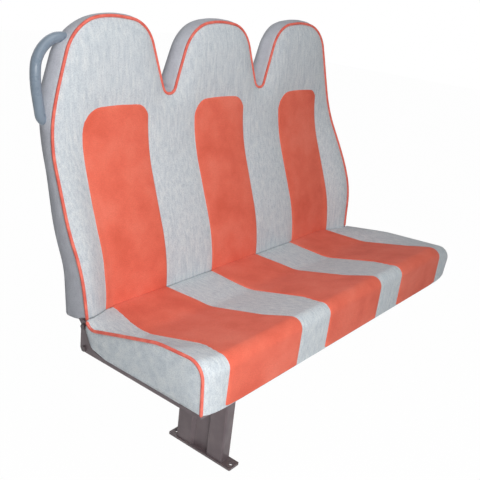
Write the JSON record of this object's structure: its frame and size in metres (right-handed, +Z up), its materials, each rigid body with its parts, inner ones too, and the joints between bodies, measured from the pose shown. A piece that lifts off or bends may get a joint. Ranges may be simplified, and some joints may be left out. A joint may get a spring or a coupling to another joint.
{
  "type": "student bench seat",
  "caption": "Upholstered passenger bench with a lobed high back, hinged lift-up cushion, pedestal leg, wall bracket and aisle-side grab handle, for fixing in a school vehicle.",
  "frame": {"origin": "on the floor, under the middle of the seat's overall width and depth", "axes": "+X along the bench towards the wall end, +Y to the rear, +Z up"},
  "size_m": [1.245, 0.6201, 1.061],
  "materials": {
    "frame_paint": "satin brown-grey paint",
    "zinc": "zinc plated",
    "handle_paint": "semi-gloss blue-grey coating",
    "grommet_rubber": "matt",
    "foam": "moulded polyurethane foam",
    "grey_fabric": "grey melange upholstery cloth",
    "coral_suede": "coral suede cloth with a brushed nap",
    "coral_piping": "cloth-covered welt cord",
    "plywood": "bare birch ply",
    "hardboard": "bare hardboard"
  },
  "bodies": {
    "frame": {"foot_plate": "frame_paint", "pedestal_leg": "frame_paint", "leg_top_plate": "frame_paint", "front_rail": "frame_paint", "rear_rail": "frame_paint", "seat_bearer_1": "frame_paint", "seat_bearer_2": "frame_paint", "seat_bearer_3": "frame_paint", "seat_bearer_4": "frame_paint", "wall_bracket": "frame_paint", "side_plate_left": "frame_paint", "side_plate_right": "frame_paint", "back_foot_left": "frame_paint", "back_foot_right": "frame_paint", "back_upright_left": "frame_paint", "back_upright_right": "frame_paint", "back_mid_upright_left": "frame_paint", "back_mid_upright_right": "frame_paint", "back_cross_tube_lower": "frame_paint", "back_cross_tube_upper": "frame_paint", "head_hoop_1": "frame_paint", "head_hoop_2": "frame_paint", "head_hoop_3": "frame_paint", "leg_bolts": "zinc", "wall_bracket_bolts": "zinc", "side_plate_bolts": "zinc", "hinge_pins": "zinc", "hinge_leaves_frame": "zinc", "grab_handle": "handle_paint", "stud_grommets": "grommet_rubber", "back_foam": "foam", "back_cover": "grey_fabric", "back_insert_1": "coral_suede", "back_insert_2": "coral_suede", "back_insert_3": "coral_suede", "back_piping": "coral_piping", "back_rear_panel": "hardboard"},
    "cushion": {"seat_board": "plywood", "seat_foam": "foam", "seat_cover": "grey_fabric", "seat_insert_1": "coral_suede", "seat_insert_2": "coral_suede", "seat_insert_3": "coral_suede", "seat_piping_left": "coral_piping", "seat_piping_right": "coral_piping", "hinge_leaves_cushion": "zinc", "board_studs": "zinc"}
  },
  "joints": [
    {"name": "cushion_hinge", "type": "hinge", "parent": "frame", "child": "cushion", "pos_m": [0, -0.291, 0.3], "axis": [1, 0, 0], "range_deg": [0, 75]}
  ]
}
